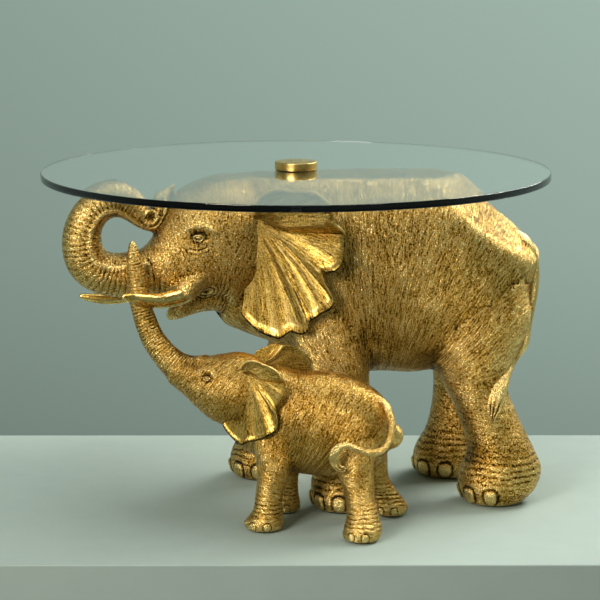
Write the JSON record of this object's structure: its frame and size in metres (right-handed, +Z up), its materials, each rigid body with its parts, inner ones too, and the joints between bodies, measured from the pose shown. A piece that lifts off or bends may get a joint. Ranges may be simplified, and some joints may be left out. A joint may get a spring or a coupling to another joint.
{
  "type": "sculptural side table",
  "caption": "Low side table: a cast elephant and her calf in antiqued gold resin carry a round clear glass top, held by a screw cap at its centre.",
  "frame": {"origin": "on the floor under the centre of the round glass top", "axes": "+Z up; the cow elephant faces -X and her left side, with the calf beside it, is towards -Y"},
  "size_m": [0.6, 0.6, 0.3948],
  "materials": {
    "aged_gold": "cast resin in metallic gold paint, rubbed back over dark umber in the engraved skin",
    "rubbed_gold": "cast resin in metallic gold paint, smooth",
    "glass": "clear tempered float glass with a polished round edge",
    "nylon": "natural nylon",
    "clear_bumper": "clear soft polyurethane",
    "rubber": "matt black rubber",
    "brushed_brass": "turned and brushed, lacquered",
    "brass": "turned, plain",
    "steel": "zinc plated rod",
    "wood": "raw beech",
    "felt": "pressed wool felt"
  },
  "bodies": {
    "sculpture": {"mother_body": "aged_gold", "mother_head": "aged_gold", "mother_ear_left": "aged_gold", "mother_ear_right": "aged_gold", "mother_tusk_left": "rubbed_gold", "mother_tusk_right": "rubbed_gold", "mother_tail": "aged_gold", "mother_neck_dowels": "steel", "calf_body": "aged_gold", "calf_head": "aged_gold", "calf_ear_left": "aged_gold", "calf_ear_right": "aged_gold", "calf_tail": "aged_gold", "calf_neck_dowel": "steel", "trunk_pin": "steel", "mother_belly_plug": "rubber", "back_block": "wood", "threaded_insert": "brass", "stud": "steel", "bumper_trunk": "clear_bumper", "bumper_shoulder": "clear_bumper", "bumper_flank_left": "clear_bumper", "bumper_flank_right": "clear_bumper", "pad_mother_front_left": "felt", "pad_mother_front_right": "felt", "pad_mother_rear_left": "felt", "pad_mother_rear_right": "felt", "pad_calf_front_left": "felt", "pad_calf_front_right": "felt", "pad_calf_rear_left": "felt", "pad_calf_rear_right": "felt"},
    "glass": {"glass_top": "glass", "glass_bush": "nylon"},
    "cap_gasket": {"cap_gasket": "rubber"},
    "cap": {"cap": "brushed_brass"}
  },
  "joints": [
    {"name": "glass_turn", "type": "hinge", "parent": "sculpture", "child": "glass", "pos_m": [0, 0, 0.381], "axis": [0, 0, 1], "continuous": true},
    {"name": "cap_lift", "type": "slide", "parent": "sculpture", "child": "cap_gasket", "axis": [0, 0, 1], "range_m": [0, 0.0075]},
    {"name": "cap_turn", "type": "hinge", "parent": "cap_gasket", "child": "cap", "pos_m": [0, 0, 0.39], "axis": [0, 0, 1], "range_deg": [0, 2160]}
  ],
  "couplings": [
    {"joint": "cap_lift", "follows": "cap_turn", "m_per_rad": 0.00019894}
  ]
}
